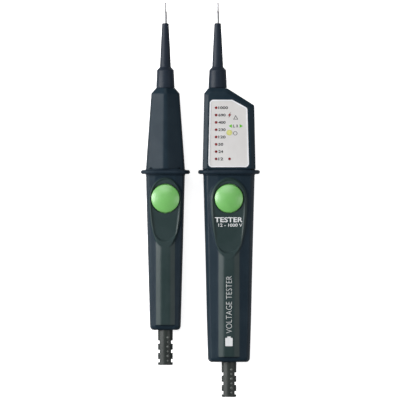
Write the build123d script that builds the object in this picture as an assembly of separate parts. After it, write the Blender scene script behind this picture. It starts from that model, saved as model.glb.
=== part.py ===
from build123d import *
import math
import os

# Two-pole circuit tester: a plain probe and a display probe, both lying on their backs.
# +Y runs towards the test tips, +Z out of the button faces, z = 0 is the resting surface.
# All lengths are millimetres.

# ---- lengths that both probes share -------------------------------------------------
TIP_END = 138.0              # y of the points of both test tips
SLEEVE_END = 123.6           # y where bare metal begins
SLEEVE_FOOT = 78.2           # y where the insulating sleeve leaves the shells
NOSE_SHOULDER = 74.4         # y where the nose turns in towards the sleeve
GUARD_LOW, GUARD_HIGH = 17.25, 21.55     # y of the guard's groove
GUARD_RIM = 2.9              # thickness of the guard's rounded rim
GUARD_BEAD, GUARD_WEB = 2.6, 2.0         # width of that rim, and thickness inside it
GUARD_SINK = 0.9             # depth of the groove that the guard sits in
GUARD_LAP = 0.35             # how far the guard's root stands over the shells
WALL = 2.2                   # shell wall
SEAT_END = 74.0              # y where the inside of the nose ends
SLEEVE_FLANGE = 2.2          # thickness of the flange that the shells trap
BOARD = 1.6                  # circuit board thickness

# ---- button, its switch and its spring ------------------------------------------------
BUTTON_Y = 0.9
CAP_RADIUS = 9.9
WELL_RADIUS = 10.4
TAB_REACH = 11.4             # radius of the two tabs that keep the button in
TAB_HALF = 6.0
TAB_THICK = 1.3
TRAVEL = 1.5
DOME_RISE = 1.9
CAP_PROUD = 1.0              # height of the cap's side over the recess
CAP_INSIDE = 8.2
BUTTON_STEM = 3.0
DISH_WALL = 2.1              # wall under the recess
SWITCH_HEIGHT = 2.1
PLUNGER_RADIUS = 1.6
SPRING_RADIUS = 6.0
SPRING_WIRE = 0.25
SPRING_TURNS = 4

# ---- cable inlet ----------------------------------------------------------------------
CABLE_RADIUS = 2.7
BOOT_RADIUS = 5.2
BOOT_CORE = 3.8
BOOT_PITCH = 6.5
BOOT_SLOT = 2.2
BOOT_LENGTH = 24.5
BOOT_FIRST = 7.35            # from the handle's end to the first side slot
BOOT_SLOTS = 3
BOOT_BRIDGE = 3.3            # half width of each slot
BOOT_FLANGE = 6.2
BOOT_STEM = 4.6

# ---- tip -------------------------------------------------------------------------------
ROD_RADIUS, POINT_RADIUS = 1.1, 0.75     # bare rod and its thinner point
CORE_RADIUS = 1.4            # the rod inside the sleeve
FLANGE_RADIUS, SLEEVE_STEM = 6.2, 4.8
LEAD_RADIUS = 0.5

# ---- shells' fasteners and seal -----------------------------------------------------------
SCREW_RADIUS, HEAD_RADIUS = 1.1, 2.0
SCREW_REST, SCREW_BITE = 6.0, 4.0        # screw head under, and thread over, the seam
BOSS_FRONT, BOSS_REAR = 2.4, 2.8
POST_RADIUS, BOARD_SCREW = 2.4, 0.9
CLAMP_POST, CLAMP_SCREW = 2.0, 0.9
CLAMP_X = (-5.4, 5.4)
SEAL_NEAR, SEAL_FAR, SEAL_DEEP = 1.5, 2.0, 0.7
TAIL_ROUND, TAIL_STEPS = 2.6, 4

# ---- the two probes -------------------------------------------------------------------
# seam is the height of the parting plane, roof, pad and dish are heights over the seam of
# the handle's front, of the raised spine and of the thumb recess. sides are the half
# widths of the handle along y.
PLAIN = dict(
    name="plain", x=-24.5, tip=-24.5, seam=13.0, tail=-91.2, roof=9.0, pad=11.0, dish=9.8,
    shoulder=0.90, sides=((GUARD_LOW, 13.65), (-33.8, 12.3), (-84.2, 10.9), (-91.2, 10.65)),
    egg=11.6, egg_tail=36.0, band=1.4, spine=7.1, spine_flat=3.3, dish_end=-28.2, dish_half=9.6,
    tail_drop=1.2, guard_half=17.3, guard_top=12.2,
    screws=((-7.4, 30), (7.4, 30), (-6.0, -70), (6.0, -70)), posts=((0, 14), (0, -17)),
    board=((-9.6, -26), (9.6, -26), (9.6, 42), (-9.6, 42)), board_end=42.0, resistors=(17.5, 1.75, 5.2),
)
DISPLAY = dict(
    name="display", x=20.0, tip=12.1, seam=16.5, tail=-113.6, roof=11.2, pad=13.3, dish=12.0,
    shoulder=0.87, sides=((GUARD_LOW, 18.0), (-42.2, 16.45), (-84.2, 15.5), (-113.6, 14.6)),
    egg=13.0, egg_tail=44.0, band=2.0, spine=7.8, spine_flat=3.7, dish_end=-36.6, dish_half=11.0,
    tail_drop=1.7, guard_half=21.7, guard_top=14.6,
    screws=((-12.3, 9), (12.3, 9), (-10.8, -46.8), (10.8, -46.8)),
    posts=((-12.6, 21.5), (12.6, 21.5), (12.8, 57), (-9.5, -39.6), (9.5, -39.6)),
    board=((-13.4, -43.6), (13.4, -43.6), (13.4, 14), (15.0, 24), (15.0, 63.4), (11.8, 66.5),
           (-14.6, 66.5), (-15.0, 24), (-13.4, 14)), board_end=66.5, resistors=(-36.9, 4.1, 8.1),
)
KEEL = 3.0                   # height of the back at the guard
KEEL_TURN = (-20.0, -50.0)   # y where the back starts down to the table and reaches it

EGG_TOP = 15.9               # y where the raised egg round the button starts
SPINE_STOP = 3.5             # the spine ends this far before the handle does
SPINE_ROUND = 5.0            # radius along both of its top edges
NOSE_ROUND = 0.3             # radius of the plain nose's ridge, as a share of the half width
GUARD_RADII = (2.5, 4, 4, 3, 2.5, 1.5)

# ---- plain nose -----------------------------------------------------------------------
NOSE = ((GUARD_HIGH, 13.7, 10.3, 10.0), (NOSE_SHOULDER, 9.9, 8.2, 8.0), (SLEEVE_FOOT, 6.6, 6.9, 6.6))

# ---- display head and its window --------------------------------------------------------
HEAD = ((-18.65, GUARD_HIGH), (-17.4, NOSE_SHOULDER), (-14.3, SLEEVE_FOOT), (-1.5, SLEEVE_FOOT),
        (17.7, 66.1), (18.8, GUARD_HIGH))
HEAD_RADII = (0, 2.0, 1.2, 5.0, 1.6, 0)
HEAD_FRONT = 12.0            # front face over the seam
FRONT_BEVEL, FRONT_BEVEL_RISE = 3.0, 2.0  # width and depth of the bevel round the front face
BACK_BEVEL = 4.0
PANEL = ((-14.5, 22.8), (-13.4, 70.0), (2.3, 70.0), (12.9, 64.2), (14.1, 22.8))
PANEL_RADIUS = 2.6
PANEL_SINK = 1.2
BEZEL = 0.9                  # width of the window frame
LEDGE = 1.6                  # what the plate rests on round the window
RED_X, RED_TOP, RED_PITCH, RED_COUNT = -9.0, 64.4, 5.12, 8
RED_RADIUS = 0.9
EXTRA_RED = (0.4, 28.6)
FLASH = (0.4, 59.3)
GREEN = ((1.1, 51.6), (8.4, 51.6))
YELLOW = (0.2, 47.0)
YELLOW_RADIUS = 1.95
PIPE_BAR = 1.4               # thickness of the light pipes' carriers

# ---- batteries, tray and door -----------------------------------------------------------
CELL_RADIUS, CELL_LENGTH = 5.25, 44.5
CELL_X, CELL_Z = 5.4, 7.4
CELL_HIGH = -57.5            # y of the cells' upper ends
TRAY = (-55.4, -104.0)
TRAY_FOOT, TRAY_TOP, TRAY_HALF, TRAY_LIP, TRAY_WALL = 6.4, 13.6, 11.2, 12.3, 1.2
LIP, LIP_Y = 1.2, (-64.0, -96.0)
DOOR_HIGH = -50.6
DOOR_THICK, DOOR_FACE, DOOR_INSIDE = 1.5, 10.7, 11.2
DOOR_GAP = 0.15
DOOR_SCREW_Y = -52.8

# ---- vibration motor ----------------------------------------------------------------------
BUZZER = (4.0, 40.0)
PTC = ((-8.0, 52.0), (-8.0, 39.5))
MCU_Y = -22.0
TUNNEL = 1.35                # radius of each indicator's light tunnel
MOTOR = dict(y=(-30.0, -41.0), z=8.6, radius=3.5, shaft=0.75, weight=4.2, weight_y=(-42.2, -46.2))

BASE = (Align.CENTER, Align.CENTER, Align.MIN)


# ---- small helpers ------------------------------------------------------------------------
def post(x, y, radius, low, high):
    return Pos(x, y, low) * Cylinder(radius, high - low, align=BASE)


def rod(x, z, radius, low, high):
    return Pos(x, high, z) * Rot(90, 0, 0) * Cylinder(radius, high - low, align=BASE)


def block(x, y, z):
    size = [pair[1] - pair[0] for pair in (x, y, z)]
    middle = [(pair[0] + pair[1]) / 2 for pair in (x, y, z)]
    return Pos(*middle) * Box(*size)


def turned(profile, radii, x, z):
    """Revolve a (radius, y) profile about the line through x, z that runs along Y."""
    face = make_face(FilletPolyline(*profile, radius=radii, close=True))
    return Pos(x, 0, z) * revolve(face, Axis.Y)


def between(pairs, y):
    """Straight-line value at y from a falling list of (y, value)."""
    for (high, a), (low, b) in zip(pairs, pairs[1:]):
        if y >= low:
            break
    return a + (b - a) * (high - y) / (high - low)


def plate(points, radii, low, high):
    """Prism of a rounded outline that lies flat."""
    face = make_face(FilletPolyline(*points, radius=radii, close=True))
    return Pos(0, 0, low) * extrude(face, high - low)


def mirrored(points):
    return list(points) + [(-x, z) for x, z in reversed(points)]


def across(probe, y, points, radii):
    """Closed wire of a cross-section at station y, from its right-hand points, bottom to top."""
    ring = [(probe["x"] + x, y, probe["seam"] + z) for x, z in mirrored(points)]
    return FilletPolyline(*ring, radius=list(radii) + list(reversed(radii)), close=True)


def lofted(wires):
    return Solid.make_loft(wires, ruled=True)


# ---- outer shapes -------------------------------------------------------------------------
def handle_section(probe, y, inset=0.0):
    half = between(probe["sides"], y)
    drop = probe["tail_drop"] * max(0.0, min(1.0, (-36 - y) / (-36 - probe["tail"])))
    roof = probe["roof"] - drop
    lift = KEEL * max(0.0, min(1.0, (y - KEEL_TURN[1]) / (KEEL_TURN[0] - KEEL_TURN[1])))
    back = probe["seam"] - lift
    flat = 0.82 - 0.14 * lift / KEEL
    points = [(flat * half, -back), (0.975 * half, -0.55 * back), (half, 0), (0.975 * half, 0.47 * roof),
              (probe["shoulder"] * half, 0.87 * roof), (probe["spine"], roof)]
    if inset:
        points = [(x - inset, z + (inset if z < -8 else -inset if z > 5 else 0)) for x, z in points]
    radii = [3.0, 4.0, 4.0, 3.0, 1.5, 0.8]
    return across(probe, y, points, [max(0.5, r - inset) for r in radii])


def handle_body(probe, inset=0.0, low=None, high=GUARD_LOW):
    rounded = low is None
    low = probe["tail"] + TAIL_ROUND if rounded else low
    stations = [high] + [y for y in (-20, -36, -50, -84.2) if low < y < high] + [low]
    wires = [handle_section(probe, y, inset) for y in stations]
    if rounded:
        for step in range(1, TAIL_STEPS + 1):
            angle = math.pi / 2 * step / TAIL_STEPS
            y = probe["tail"] + TAIL_ROUND * (1 - math.sin(angle))
            wires.append(handle_section(probe, y, TAIL_ROUND * (1 - math.cos(angle))))
    return lofted(wires)


def nose_section(probe, y, half, front, back, inset=0.0):
    points = [(0.62 * half, -back), (0.95 * half, -0.5 * back), (half, 0), (0.93 * half, 0.42 * front),
              (0.12 * half, 0.985 * front)]
    if inset:
        points = [(max(0.3, x - inset), z + (inset if z < -3 else -inset if z > 4 else 0)) for x, z in points]
    return across(probe, y, points, [1.5, 2.0, 2.0, 1.5, 0.4 if inset else NOSE_ROUND * half])


def plain_nose(probe, inset=0.0, low=GUARD_HIGH, high=SLEEVE_FOOT):
    rows = {y: rest for y, *rest in NOSE}
    stations = sorted({low, high} | {y for y in rows if low < y < high})
    wires = []
    for y in stations:
        (y0, *a), (y1, *b) = (NOSE[0], NOSE[1]) if y <= NOSE_SHOULDER else (NOSE[1], NOSE[2])
        part = (y - y0) / (y1 - y0)
        half, front, back = [p + (q - p) * part for p, q in zip(a, b)]
        wires.append(nose_section(probe, y, half, front, back, inset))
    return lofted(wires)


def shifted(points, probe):
    return [(probe["x"] + x, y) for x, y in points]


def grown(points, radii, amount):
    """Face of a rounded outline grown (or shrunk) by an amount."""
    face = make_face(FilletPolyline(*points, radius=radii, close=True))
    return offset(face, amount, kind=Kind.INTERSECTION) if amount else face


def moved_in(points, amount):
    """Corners of a convex outline, listed clockwise, with every side moved in."""
    moved = []
    for before, here, after in zip(points[-1:] + points[:-1], points, points[1:] + points[:1]):
        (ax, ay), (bx, by) = [((y1 - y0) / math.hypot(x1 - x0, y1 - y0), (x0 - x1) / math.hypot(x1 - x0, y1 - y0))
                              for (x0, y0), (x1, y1) in ((before, here), (here, after))]
        share = amount / (1 + ax * bx + ay * by)
        moved.append((here[0] + share * (ax + bx), here[1] + share * (ay + by)))
    return moved


def display_head(probe, inset=0.0):
    """Flat-faced head: straight side walls between a wide front bevel and a back chamfer."""
    seam = probe["seam"]
    low, high = KEEL + inset, seam + HEAD_FRONT - inset
    outline = [(x, y if y > GUARD_HIGH else y - 8) for x, y in shifted(HEAD, probe)]
    face = grown(outline, HEAD_RADII, -inset)
    if inset:
        return Pos(0, 0, low) * extrude(face, high - low)
    wall_low, wall_high = low + BACK_BEVEL, high - FRONT_BEVEL_RISE
    head = Pos(0, 0, wall_low) * extrude(face, wall_high - wall_low)
    rims = []
    for amount, z in ((0.0, wall_high), (FRONT_BEVEL, high)):
        corners = [(x, y, z) for x, y in moved_in(outline, amount)]
        radii = [max(0.5, r - amount) if r else 0 for r in HEAD_RADII]
        rims.append(FilletPolyline(*corners, radius=radii, close=True))
    head += lofted(rims)
    head += Pos(0, 0, wall_low) * extrude(face, -BACK_BEVEL, taper=45)
    return head & block((-60, 60), (GUARD_HIGH, 100), (0, 60))


# ---- thumb pad, recess and guard ------------------------------------------------------------
def egg(probe, half, top, tail, z):
    """Closed egg outline: a short half ellipse above y = 0 and a long one below it."""
    centre = (probe["x"], 0, z)
    upper = EllipticalCenterArc(centre, half, top, 0, arc_size=180)
    lower = EllipticalCenterArc(centre, half, tail, 180, arc_size=180)
    return Wire([upper, lower])


def spine_section(probe, y, sink):
    drop = probe["tail_drop"] * max(0.0, (-36 - y) / (-36 - probe["tail"]))
    slope = (probe["spine"] - probe["spine_flat"]) / (probe["pad"] - probe["roof"])
    low, high = probe["roof"] - drop - sink, probe["pad"] - drop
    return across(probe, y, [(probe["spine"] + slope * sink, low), (probe["spine_flat"], high)], [0, SPINE_ROUND])


def pad(probe):
    """Raised egg round the button, which runs out into the spine down the handle."""
    seam, sink = probe["seam"], 1.0
    rise = probe["pad"] - probe["roof"]
    spread = probe["band"] / rise
    half, top, tail = probe["egg"], EGG_TOP, probe["egg_tail"]
    wires = [egg(probe, half - spread * h, top - spread * h, tail - spread * h, seam + probe["roof"] + h)
             for h in (-sink, rise)]
    body = lofted(wires)
    for stations in ((-18, -36), (-36, probe["tail"] + SPINE_STOP)):
        body += lofted([spine_section(probe, y, sink) for y in stations])
    return body


def thumb_recess(probe):
    """Cutter for the shallow recess, with walls that lean out at 45 degrees."""
    wires = []
    for rise in (0.0, 3.0):
        half = probe["egg"] - probe["band"] - 0.25 + rise
        top, low = EGG_TOP - probe["band"] - 0.4 + rise, probe["dish_end"] - rise
        side = probe["dish_half"] * 0.8 + rise
        z = probe["seam"] + probe["dish"] + rise
        x = probe["x"]
        arc = EllipticalCenterArc((x, 0, z), half, top, 0, arc_size=180)
        left = Line((x - half, 0, z), (x - side, low + 8, z))
        bottom = ThreePointArc((x - side, low + 8, z), (x, low, z), (x + side, low + 8, z))
        right = Line((x + side, low + 8, z), (x + half, 0, z))
        wires.append(Wire([arc, left, bottom, right]))
    return lofted(wires)


def guard_section(probe, sink):
    """Points of the handle's section in the groove, from the lowest to the highest."""
    half, roof = probe["sides"][0][1] - sink, probe["roof"] - sink
    back = probe["seam"] - KEEL - sink
    return [(0.66 * half, -back), (0.975 * half, -0.55 * back), (half, 0), (0.975 * half, 0.5 * roof),
            (0.84 * half, 0.9 * roof), (0.45 * half, roof)]


def prism_across(probe, points, radii, low, high):
    face = make_face(across(probe, high, points, radii))
    return extrude(face, high - low, dir=(0, -1, 0))


def groove_body(probe):
    return prism_across(probe, guard_section(probe, GUARD_SINK), GUARD_RADII, GUARD_LOW, GUARD_HIGH)


def finger_guard(probe):
    half, top, back = probe["guard_half"], probe["guard_top"], probe["seam"]
    outer = [(0.60 * half, -back), (0.94 * half, -0.58 * back), (half, 0), (0.955 * half, 0.5 * top),
             (0.80 * half, 0.88 * top), (0.45 * half, top)]
    middle = (GUARD_LOW + GUARD_HIGH) / 2
    rim = prism_across(probe, outer, [5, 6, 6, 5, 4, 3], middle - GUARD_RIM / 2, middle + GUARD_RIM / 2)
    ends = rim.faces().sort_by(Axis.Y)
    rim = fillet(ends[0].edges() + ends[-1].edges(), GUARD_RIM / 2 - 0.06)
    inner = [(x - GUARD_BEAD, z + (GUARD_BEAD if z < -8 else -GUARD_BEAD if z > 8 else 0)) for x, z in outer]
    for low, high in ((middle - GUARD_RIM, middle - GUARD_WEB / 2), (middle + GUARD_WEB / 2, middle + GUARD_RIM)):
        rim -= prism_across(probe, inner, [3, 4, 4, 3, 2.5, 1.5], low, high)
    root = prism_across(probe, guard_section(probe, -GUARD_LAP), GUARD_RADII, GUARD_LOW, GUARD_HIGH)
    ends = root.faces().sort_by(Axis.Y)
    root = chamfer(ends[0].edges() + ends[-1].edges(), 0.3)
    return rim + root - groove_body(probe)


def outer_body(probe):
    body = handle_body(probe) + pad(probe) + groove_body(probe)
    body += plain_nose(probe) if probe is PLAIN else display_head(probe)
    return body - thumb_recess(probe)


def cavity_body(probe):
    """Space inside the two shells."""
    inside = handle_body(probe, WALL, probe["tail"] + WALL, GUARD_HIGH + 1)
    if probe is PLAIN:
        inside += plain_nose(probe, WALL, GUARD_HIGH - 1, SEAT_END)
    else:
        inside += display_head(probe, WALL) & block((-60, 60), (GUARD_HIGH, SEAT_END), (0, 60))
    x, z, tail = probe["x"], probe["seam"], probe["tail"]
    inside += rod(probe["tip"], z, FLANGE_RADIUS + 0.15, SEAT_END - SLEEVE_FLANGE - 3, SEAT_END)
    inside += rod(x, z, BOOT_FLANGE + 0.1, tail + WALL, tail + 2 * WALL)
    return inside


# ---- heights in the button's stack ------------------------------------------------------------
def board_top(probe):
    return probe["seam"] + BOARD


def dish_floor(probe):
    return probe["seam"] + probe["dish"]


def tab_top(probe):
    return dish_floor(probe) - DISH_WALL - 0.1


def cap_ceiling(probe):
    return dish_floor(probe) - 0.3


def plunger_top(probe):
    return board_top(probe) + SWITCH_HEIGHT + TRAVEL + 0.2


# ---- shells --------------------------------------------------------------------------------------
def clamp_span(probe):
    return probe["tail"] + 6.4, probe["tail"] + 9.4


def front_shell(probe, outer, cavity):
    x, seam, top = probe["x"], probe["seam"], dish_floor(probe)
    shell = outer - cavity
    low, high = clamp_span(probe)
    stems = [post(x + sx, sy, BOSS_FRONT, seam, top) for sx, sy in probe["screws"]]
    stems += [post(x + side, (low + high) / 2, CLAMP_POST, seam - 0.5, top) for side in CLAMP_X]
    for stem in stems:
        shell += stem & outer
    shell = shell & block((-60, 60), (-150, 150), (seam, 60))
    for side in CLAMP_X:
        shell += post(x + side, (low + high) / 2, CLAMP_POST, seam - 0.5, seam)
        shell -= post(x + side, (low + high) / 2, CLAMP_SCREW, seam - 0.5, seam + 3.2)
    for sx, sy in probe["screws"]:
        shell -= post(x + sx, sy, SCREW_RADIUS, seam, seam + SCREW_BITE + 0.3)
    shell -= post(x, BUTTON_Y, WELL_RADIUS, seam + 2, top + 4)
    pocket = post(x, BUTTON_Y, TAB_REACH + 0.3, seam + 2, top - DISH_WALL)
    shell -= pocket & block((x - TAB_HALF - 0.3, x + TAB_HALF + 0.3), (-20, 20), (0, 60))
    shell -= openings_at_ends(probe)
    if probe is DISPLAY:
        shell -= window_cut(probe)
    return shell


def rear_shell(probe, outer, cavity):
    x, seam = probe["x"], probe["seam"]
    shell = outer - cavity
    stems = [post(x + sx, sy, BOSS_REAR, 0, seam) for sx, sy in probe["screws"]]
    stems += [post(x + px, py, POST_RADIUS, 0, seam) for px, py in probe["posts"]]
    if probe is DISPLAY:
        stems += rear_fittings(probe)
    for stem in stems:
        shell += stem & outer
    shell = shell & block((-60, 60), (-150, 150), (-1, seam))
    for sx, sy in probe["screws"]:
        shell -= post(x + sx, sy, HEAD_RADIUS + 0.15, -1, seam - SCREW_REST)
        shell -= post(x + sx, sy, SCREW_RADIUS + 0.05, seam - SCREW_REST, seam)
    for px, py in probe["posts"]:
        shell -= post(x + px, py, BOARD_SCREW, seam - 5, seam)
    shell -= openings_at_ends(probe)
    shell -= seal_groove(probe)
    if probe is DISPLAY:
        shell -= battery_opening(probe)
        shell -= rod(x, MOTOR["z"], MOTOR["radius"], *reversed(MOTOR["y"]))
        for row in range(5):
            y = BUZZER[1] + (row - 2) * 2.6
            shell -= block((x + BUZZER[0] - 4, x + BUZZER[0] + 4), (y - 0.6, y + 0.6), (0, 9))
    return shell


def openings_at_ends(probe):
    tail, z = probe["tail"], probe["seam"]
    stem = rod(probe["x"], z, BOOT_STEM, tail - 1, tail + WALL + 1)
    return stem + rod(probe["tip"], z, SLEEVE_STEM, SEAT_END - 1, SLEEVE_FOOT + 1)


def seam_outline(probe):
    right = [(half, y) for y, half in reversed(probe["sides"])]
    left = [(-half, y) for y, half in probe["sides"]]
    if probe is PLAIN:
        top = [(row[1], row[0]) for row in NOSE]
        top += [(-a, b) for a, b in reversed(top)]
    else:
        top = [(x, max(y, GUARD_HIGH + 2.5)) for x, y in reversed(HEAD)]
    return shifted(right + top + left, probe)


def seal_ring(probe, near, far, low, high):
    """Two strips along the shells' rims, open at the tip and at the cable."""
    face = make_face(Polyline(*seam_outline(probe), close=True))
    ring = offset(face, -near, kind=Kind.INTERSECTION) - offset(face, -far, kind=Kind.INTERSECTION)
    ring = Pos(0, 0, low) * extrude(ring, high - low)
    ring -= rod(probe["x"], probe["seam"], BOOT_STEM + 0.6, probe["tail"] - 1, probe["tail"] + 6)
    return ring - rod(probe["tip"], probe["seam"], SLEEVE_STEM + 1.8, SEAT_END - 4, SLEEVE_FOOT + 1)


def seal_groove(probe):
    return seal_ring(probe, SEAL_NEAR, SEAL_FAR, probe["seam"] - SEAL_DEEP, probe["seam"] + 1)


def shell_seal(probe):
    return seal_ring(probe, SEAL_NEAR, SEAL_FAR, probe["seam"] - SEAL_DEEP, probe["seam"])


# ---- tip, cable inlet and fasteners ------------------------------------------------------------
def tip_sleeve(probe):
    foot = SEAT_END - SLEEVE_FLANGE
    profile = [(CORE_RADIUS, foot), (FLANGE_RADIUS, foot), (FLANGE_RADIUS, SEAT_END), (SLEEVE_STEM, SEAT_END),
               (SLEEVE_STEM, SLEEVE_FOOT), (6.45, SLEEVE_FOOT), (5.85, 90.8), (3.85, 92.9), (3.3, 105.0),
               (2.75, 115.3), (2.3, SLEEVE_END), (CORE_RADIUS, SLEEVE_END)]
    radii = [0, 0.3, 0, 0, 0, 0.5, 1.0, 0.9, 0, 0, 0.6, 0]
    return turned(profile, radii, probe["tip"], probe["seam"])


def tip_electrode(probe):
    foot = SEAT_END - SLEEVE_FLANGE
    profile = [(0, foot - 2.8), (CORE_RADIUS, foot - 2.8), (CORE_RADIUS, foot - 2), (2.2, foot - 2), (2.2, foot),
               (CORE_RADIUS, foot), (CORE_RADIUS, SLEEVE_END), (ROD_RADIUS, SLEEVE_END), (ROD_RADIUS, 131.0),
               (POINT_RADIUS, 131.9), (POINT_RADIUS, TIP_END), (0, TIP_END)]
    radii = [0, 0, 0, 0.2, 0, 0, 0, 0, 0.4, 0.3, POINT_RADIUS - 0.1, 0]
    return turned(profile, radii, probe["tip"], probe["seam"])


def tip_lead(probe):
    """Insulated wire from the electrode's foot to a pad under the board."""
    start, x, z = SEAT_END - SLEEVE_FLANGE - 2.8, probe["tip"], probe["seam"]
    end = probe["board_end"] - 5
    path = FilletPolyline((x, start, z), (x, start - 0.8, z), (x, probe["board_end"] + 0.6, z - LEAD_RADIUS),
                          (x, end, z - LEAD_RADIUS), radius=0.8)
    profile = Plane(path @ 0, z_dir=path % 0) * Circle(LEAD_RADIUS)
    return sweep(profile, path=path)


def strain_relief(probe):
    x, z, tail = probe["x"], probe["seam"], probe["tail"]
    boot = rod(x, z, BOOT_RADIUS, tail - BOOT_LENGTH, tail)
    end = boot.faces().sort_by(Axis.Y)[0]
    boot = fillet(end.edges(), 0.7)
    boot += rod(x, z, BOOT_STEM, tail, tail + WALL) + rod(x, z, BOOT_FLANGE, tail + WALL, tail + 2 * WALL)
    reach = BOOT_RADIUS + 1
    for index in range(BOOT_SLOTS):
        high = tail - BOOT_FIRST - index * BOOT_PITCH
        for side in (-1, 1):
            near, far = sorted((x + side * BOOT_CORE, x + side * reach))
            boot -= block((near, far), (high - BOOT_SLOT, high), (z - BOOT_BRIDGE, z + BOOT_BRIDGE))
    return boot - rod(x, z, CABLE_RADIUS, tail - BOOT_LENGTH - 1, tail + 2 * WALL + 1)


def cable_clamp(probe):
    x, z = probe["x"], probe["seam"]
    low, high = clamp_span(probe)
    bar = block((x - 7.6, x + 7.6), (low, high), (z - 5.2, z - 0.5)) - rod(x, z, CABLE_RADIUS, low - 1, high + 1)
    for side in CLAMP_X:
        bar -= post(x + side, (low + high) / 2, CLAMP_SCREW + 0.1, z - 6, z)
    return bar


def screw(x, y, head, shank, low, rest, high):
    """Cross-slotted screw, its head below its shank."""
    body = post(x, y, head, low, rest) + post(x, y, shank, rest, high)
    for wide, deep in ((0.6 * head, 0.14 * head), (0.14 * head, 0.6 * head)):
        body -= block((x - wide, x + wide), (y - deep, y + deep), (low - 1, low + 0.5 * (rest - low)))
    return body


def shell_screws(probe):
    seam = probe["seam"]
    rest = seam - SCREW_REST
    return [screw(probe["x"] + sx, sy, HEAD_RADIUS, SCREW_RADIUS, rest - 1.5, rest, seam + SCREW_BITE)
            for sx, sy in probe["screws"]]


def clamp_screws(probe):
    seam, y = probe["seam"], sum(clamp_span(probe)) / 2
    return [screw(probe["x"] + side, y, 1.6, CLAMP_SCREW, seam - 6.3, seam - 5.2, seam + 3)
            for side in CLAMP_X]


def board_screws(probe):
    top = board_top(probe)
    return [post(probe["x"] + px, py, BOARD_SCREW, probe["seam"] - 4.6, top) + post(
        probe["x"] + px, py, 1.7, top, top + 1.1) for px, py in probe["posts"]]


# ---- button -----------------------------------------------------------------------------------------
def button(probe):
    x, low, side = probe["x"], tab_top(probe) - TAB_THICK, dish_floor(probe) + CAP_PROUD
    sphere = (CAP_RADIUS ** 2 + DOME_RISE ** 2) / (2 * DOME_RISE)
    cap = post(x, BUTTON_Y, CAP_RADIUS, low, side + DOME_RISE)
    cap &= Pos(x, BUTTON_Y, side + DOME_RISE - sphere) * Sphere(sphere)
    rim = [e for e in cap.edges() if abs(e.center().Z - side) < 0.3 and e.length > 30]
    cap = fillet(rim, 0.8)
    tabs = post(x, BUTTON_Y, TAB_REACH, low, low + TAB_THICK)
    cap += tabs & block((x - TAB_HALF, x + TAB_HALF), (-20, 20), (0, 60))
    cap -= post(x, BUTTON_Y, CAP_INSIDE, low, cap_ceiling(probe))
    return cap + post(x, BUTTON_Y, BUTTON_STEM, plunger_top(probe), cap_ceiling(probe))


def button_spring(probe):
    low, high = board_top(probe) + SPRING_WIRE + 0.05, cap_ceiling(probe) - SPRING_WIRE - 0.05
    path = Helix((high - low) / SPRING_TURNS, high - low, SPRING_RADIUS, center=(probe["x"], BUTTON_Y, low))
    profile = Plane(path @ 0, z_dir=path % 0) * Circle(SPRING_WIRE)
    return sweep(profile, path=path, is_frenet=True)


def switch_body(probe):
    x, low = probe["x"], board_top(probe)
    body = block((x - 3.1, x + 3.1), (BUTTON_Y - 3.1, BUTTON_Y + 3.1), (low, low + SWITCH_HEIGHT))
    return body - post(x, BUTTON_Y, PLUNGER_RADIUS + 0.1, low, low + SWITCH_HEIGHT)


def switch_plunger(probe):
    return post(probe["x"], BUTTON_Y, PLUNGER_RADIUS, plunger_top(probe) - 2.1, plunger_top(probe))


# ---- boards and what is soldered to them --------------------------------------------------------------
def circuit_board(probe):
    board = plate(shifted(probe["board"], probe), 1.0, probe["seam"], board_top(probe))
    for sx, sy in probe["screws"]:
        board -= post(probe["x"] + sx, sy, BOSS_REAR + 0.3, 0, 40)
    for px, py in probe["posts"]:
        board -= post(probe["x"] + px, py, BOARD_SCREW + 0.05, 0, 40)
    return board


def input_resistors(probe):
    top, made = board_top(probe), []
    low, near, far = probe["resistors"]
    for rx in (-far, -near, near, far):
        core = rod(probe["x"] + rx, top + 1.5, 1.3, low, low + 9)
        caps = [rod(probe["x"] + rx, top + 1.5, 1.5, low + at, low + at + 1.8) for at in (0, 7.2)]
        made.append(core + caps[0] + caps[1])
    return made


def microcontroller(probe):
    x, y, low = probe["x"], MCU_Y, board_top(probe)
    body = block((x - 3.6, x + 3.6), (y - 3.6, y + 3.6), (low + 0.1, low + 1.5))
    for index in range(8):
        at = (index - 3.5) * 0.8
        body += block((x + at - 0.18, x + at + 0.18), (y - 4.7, y + 4.7), (low, low + 0.5))
        body += block((x - 4.7, x + 4.7), (y + at - 0.18, y + at + 0.18), (low, low + 0.5))
    return body


def lights():
    """Place of every indicator, relative to the display handle's axis."""
    reds = [(RED_X, RED_TOP - index * RED_PITCH) for index in range(RED_COUNT)]
    return dict(red=reds + [EXTRA_RED], flash=[FLASH], green=list(GREEN), yellow=[YELLOW])


def indicator_leds(probe):
    top = board_top(probe)
    return [block((probe["x"] + lx - 0.8, probe["x"] + lx + 0.8), (ly - 0.4, ly + 0.4), (top, top + 0.7))
            for spots in lights().values() for lx, ly in spots]


def plate_floor(probe):
    return probe["seam"] + HEAD_FRONT - PANEL_SINK


def led_shroud(probe):
    """Opaque block that keeps each indicator's light in its own tunnel."""
    top = plate_floor(probe) - PIPE_BAR
    outline = shifted(((-11.4, 26.0), (-11.4, 66.6), (6.0, 66.6), (10.4, 63.0), (10.4, 26.0)), probe)
    body = plate(outline, 1.0, board_top(probe), top)
    for spots in lights().values():
        for lx, ly in spots:
            body -= post(probe["x"] + lx, ly, TUNNEL, board_top(probe), top)
    return body


def flash_points(grow=0.0):
    fx, fy = FLASH
    bolt = ((0.9, 2.0), (-1.25, -0.3), (-0.1, -0.3), (-0.8, -2.0), (1.25, 0.45), (0.15, 0.45))
    return [(fx + x * (1 + grow), fy + y * (1 + grow)) for x, y in bolt]


def arrow_points(spot, side, grow=0.0):
    gx, gy = spot
    arrow = ((1.3, 0.0), (-0.9, 1.25), (-0.9, -1.25))
    return [(gx + side * x * (1 + grow), gy + y * (1 + grow)) for x, y in arrow]


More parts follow.
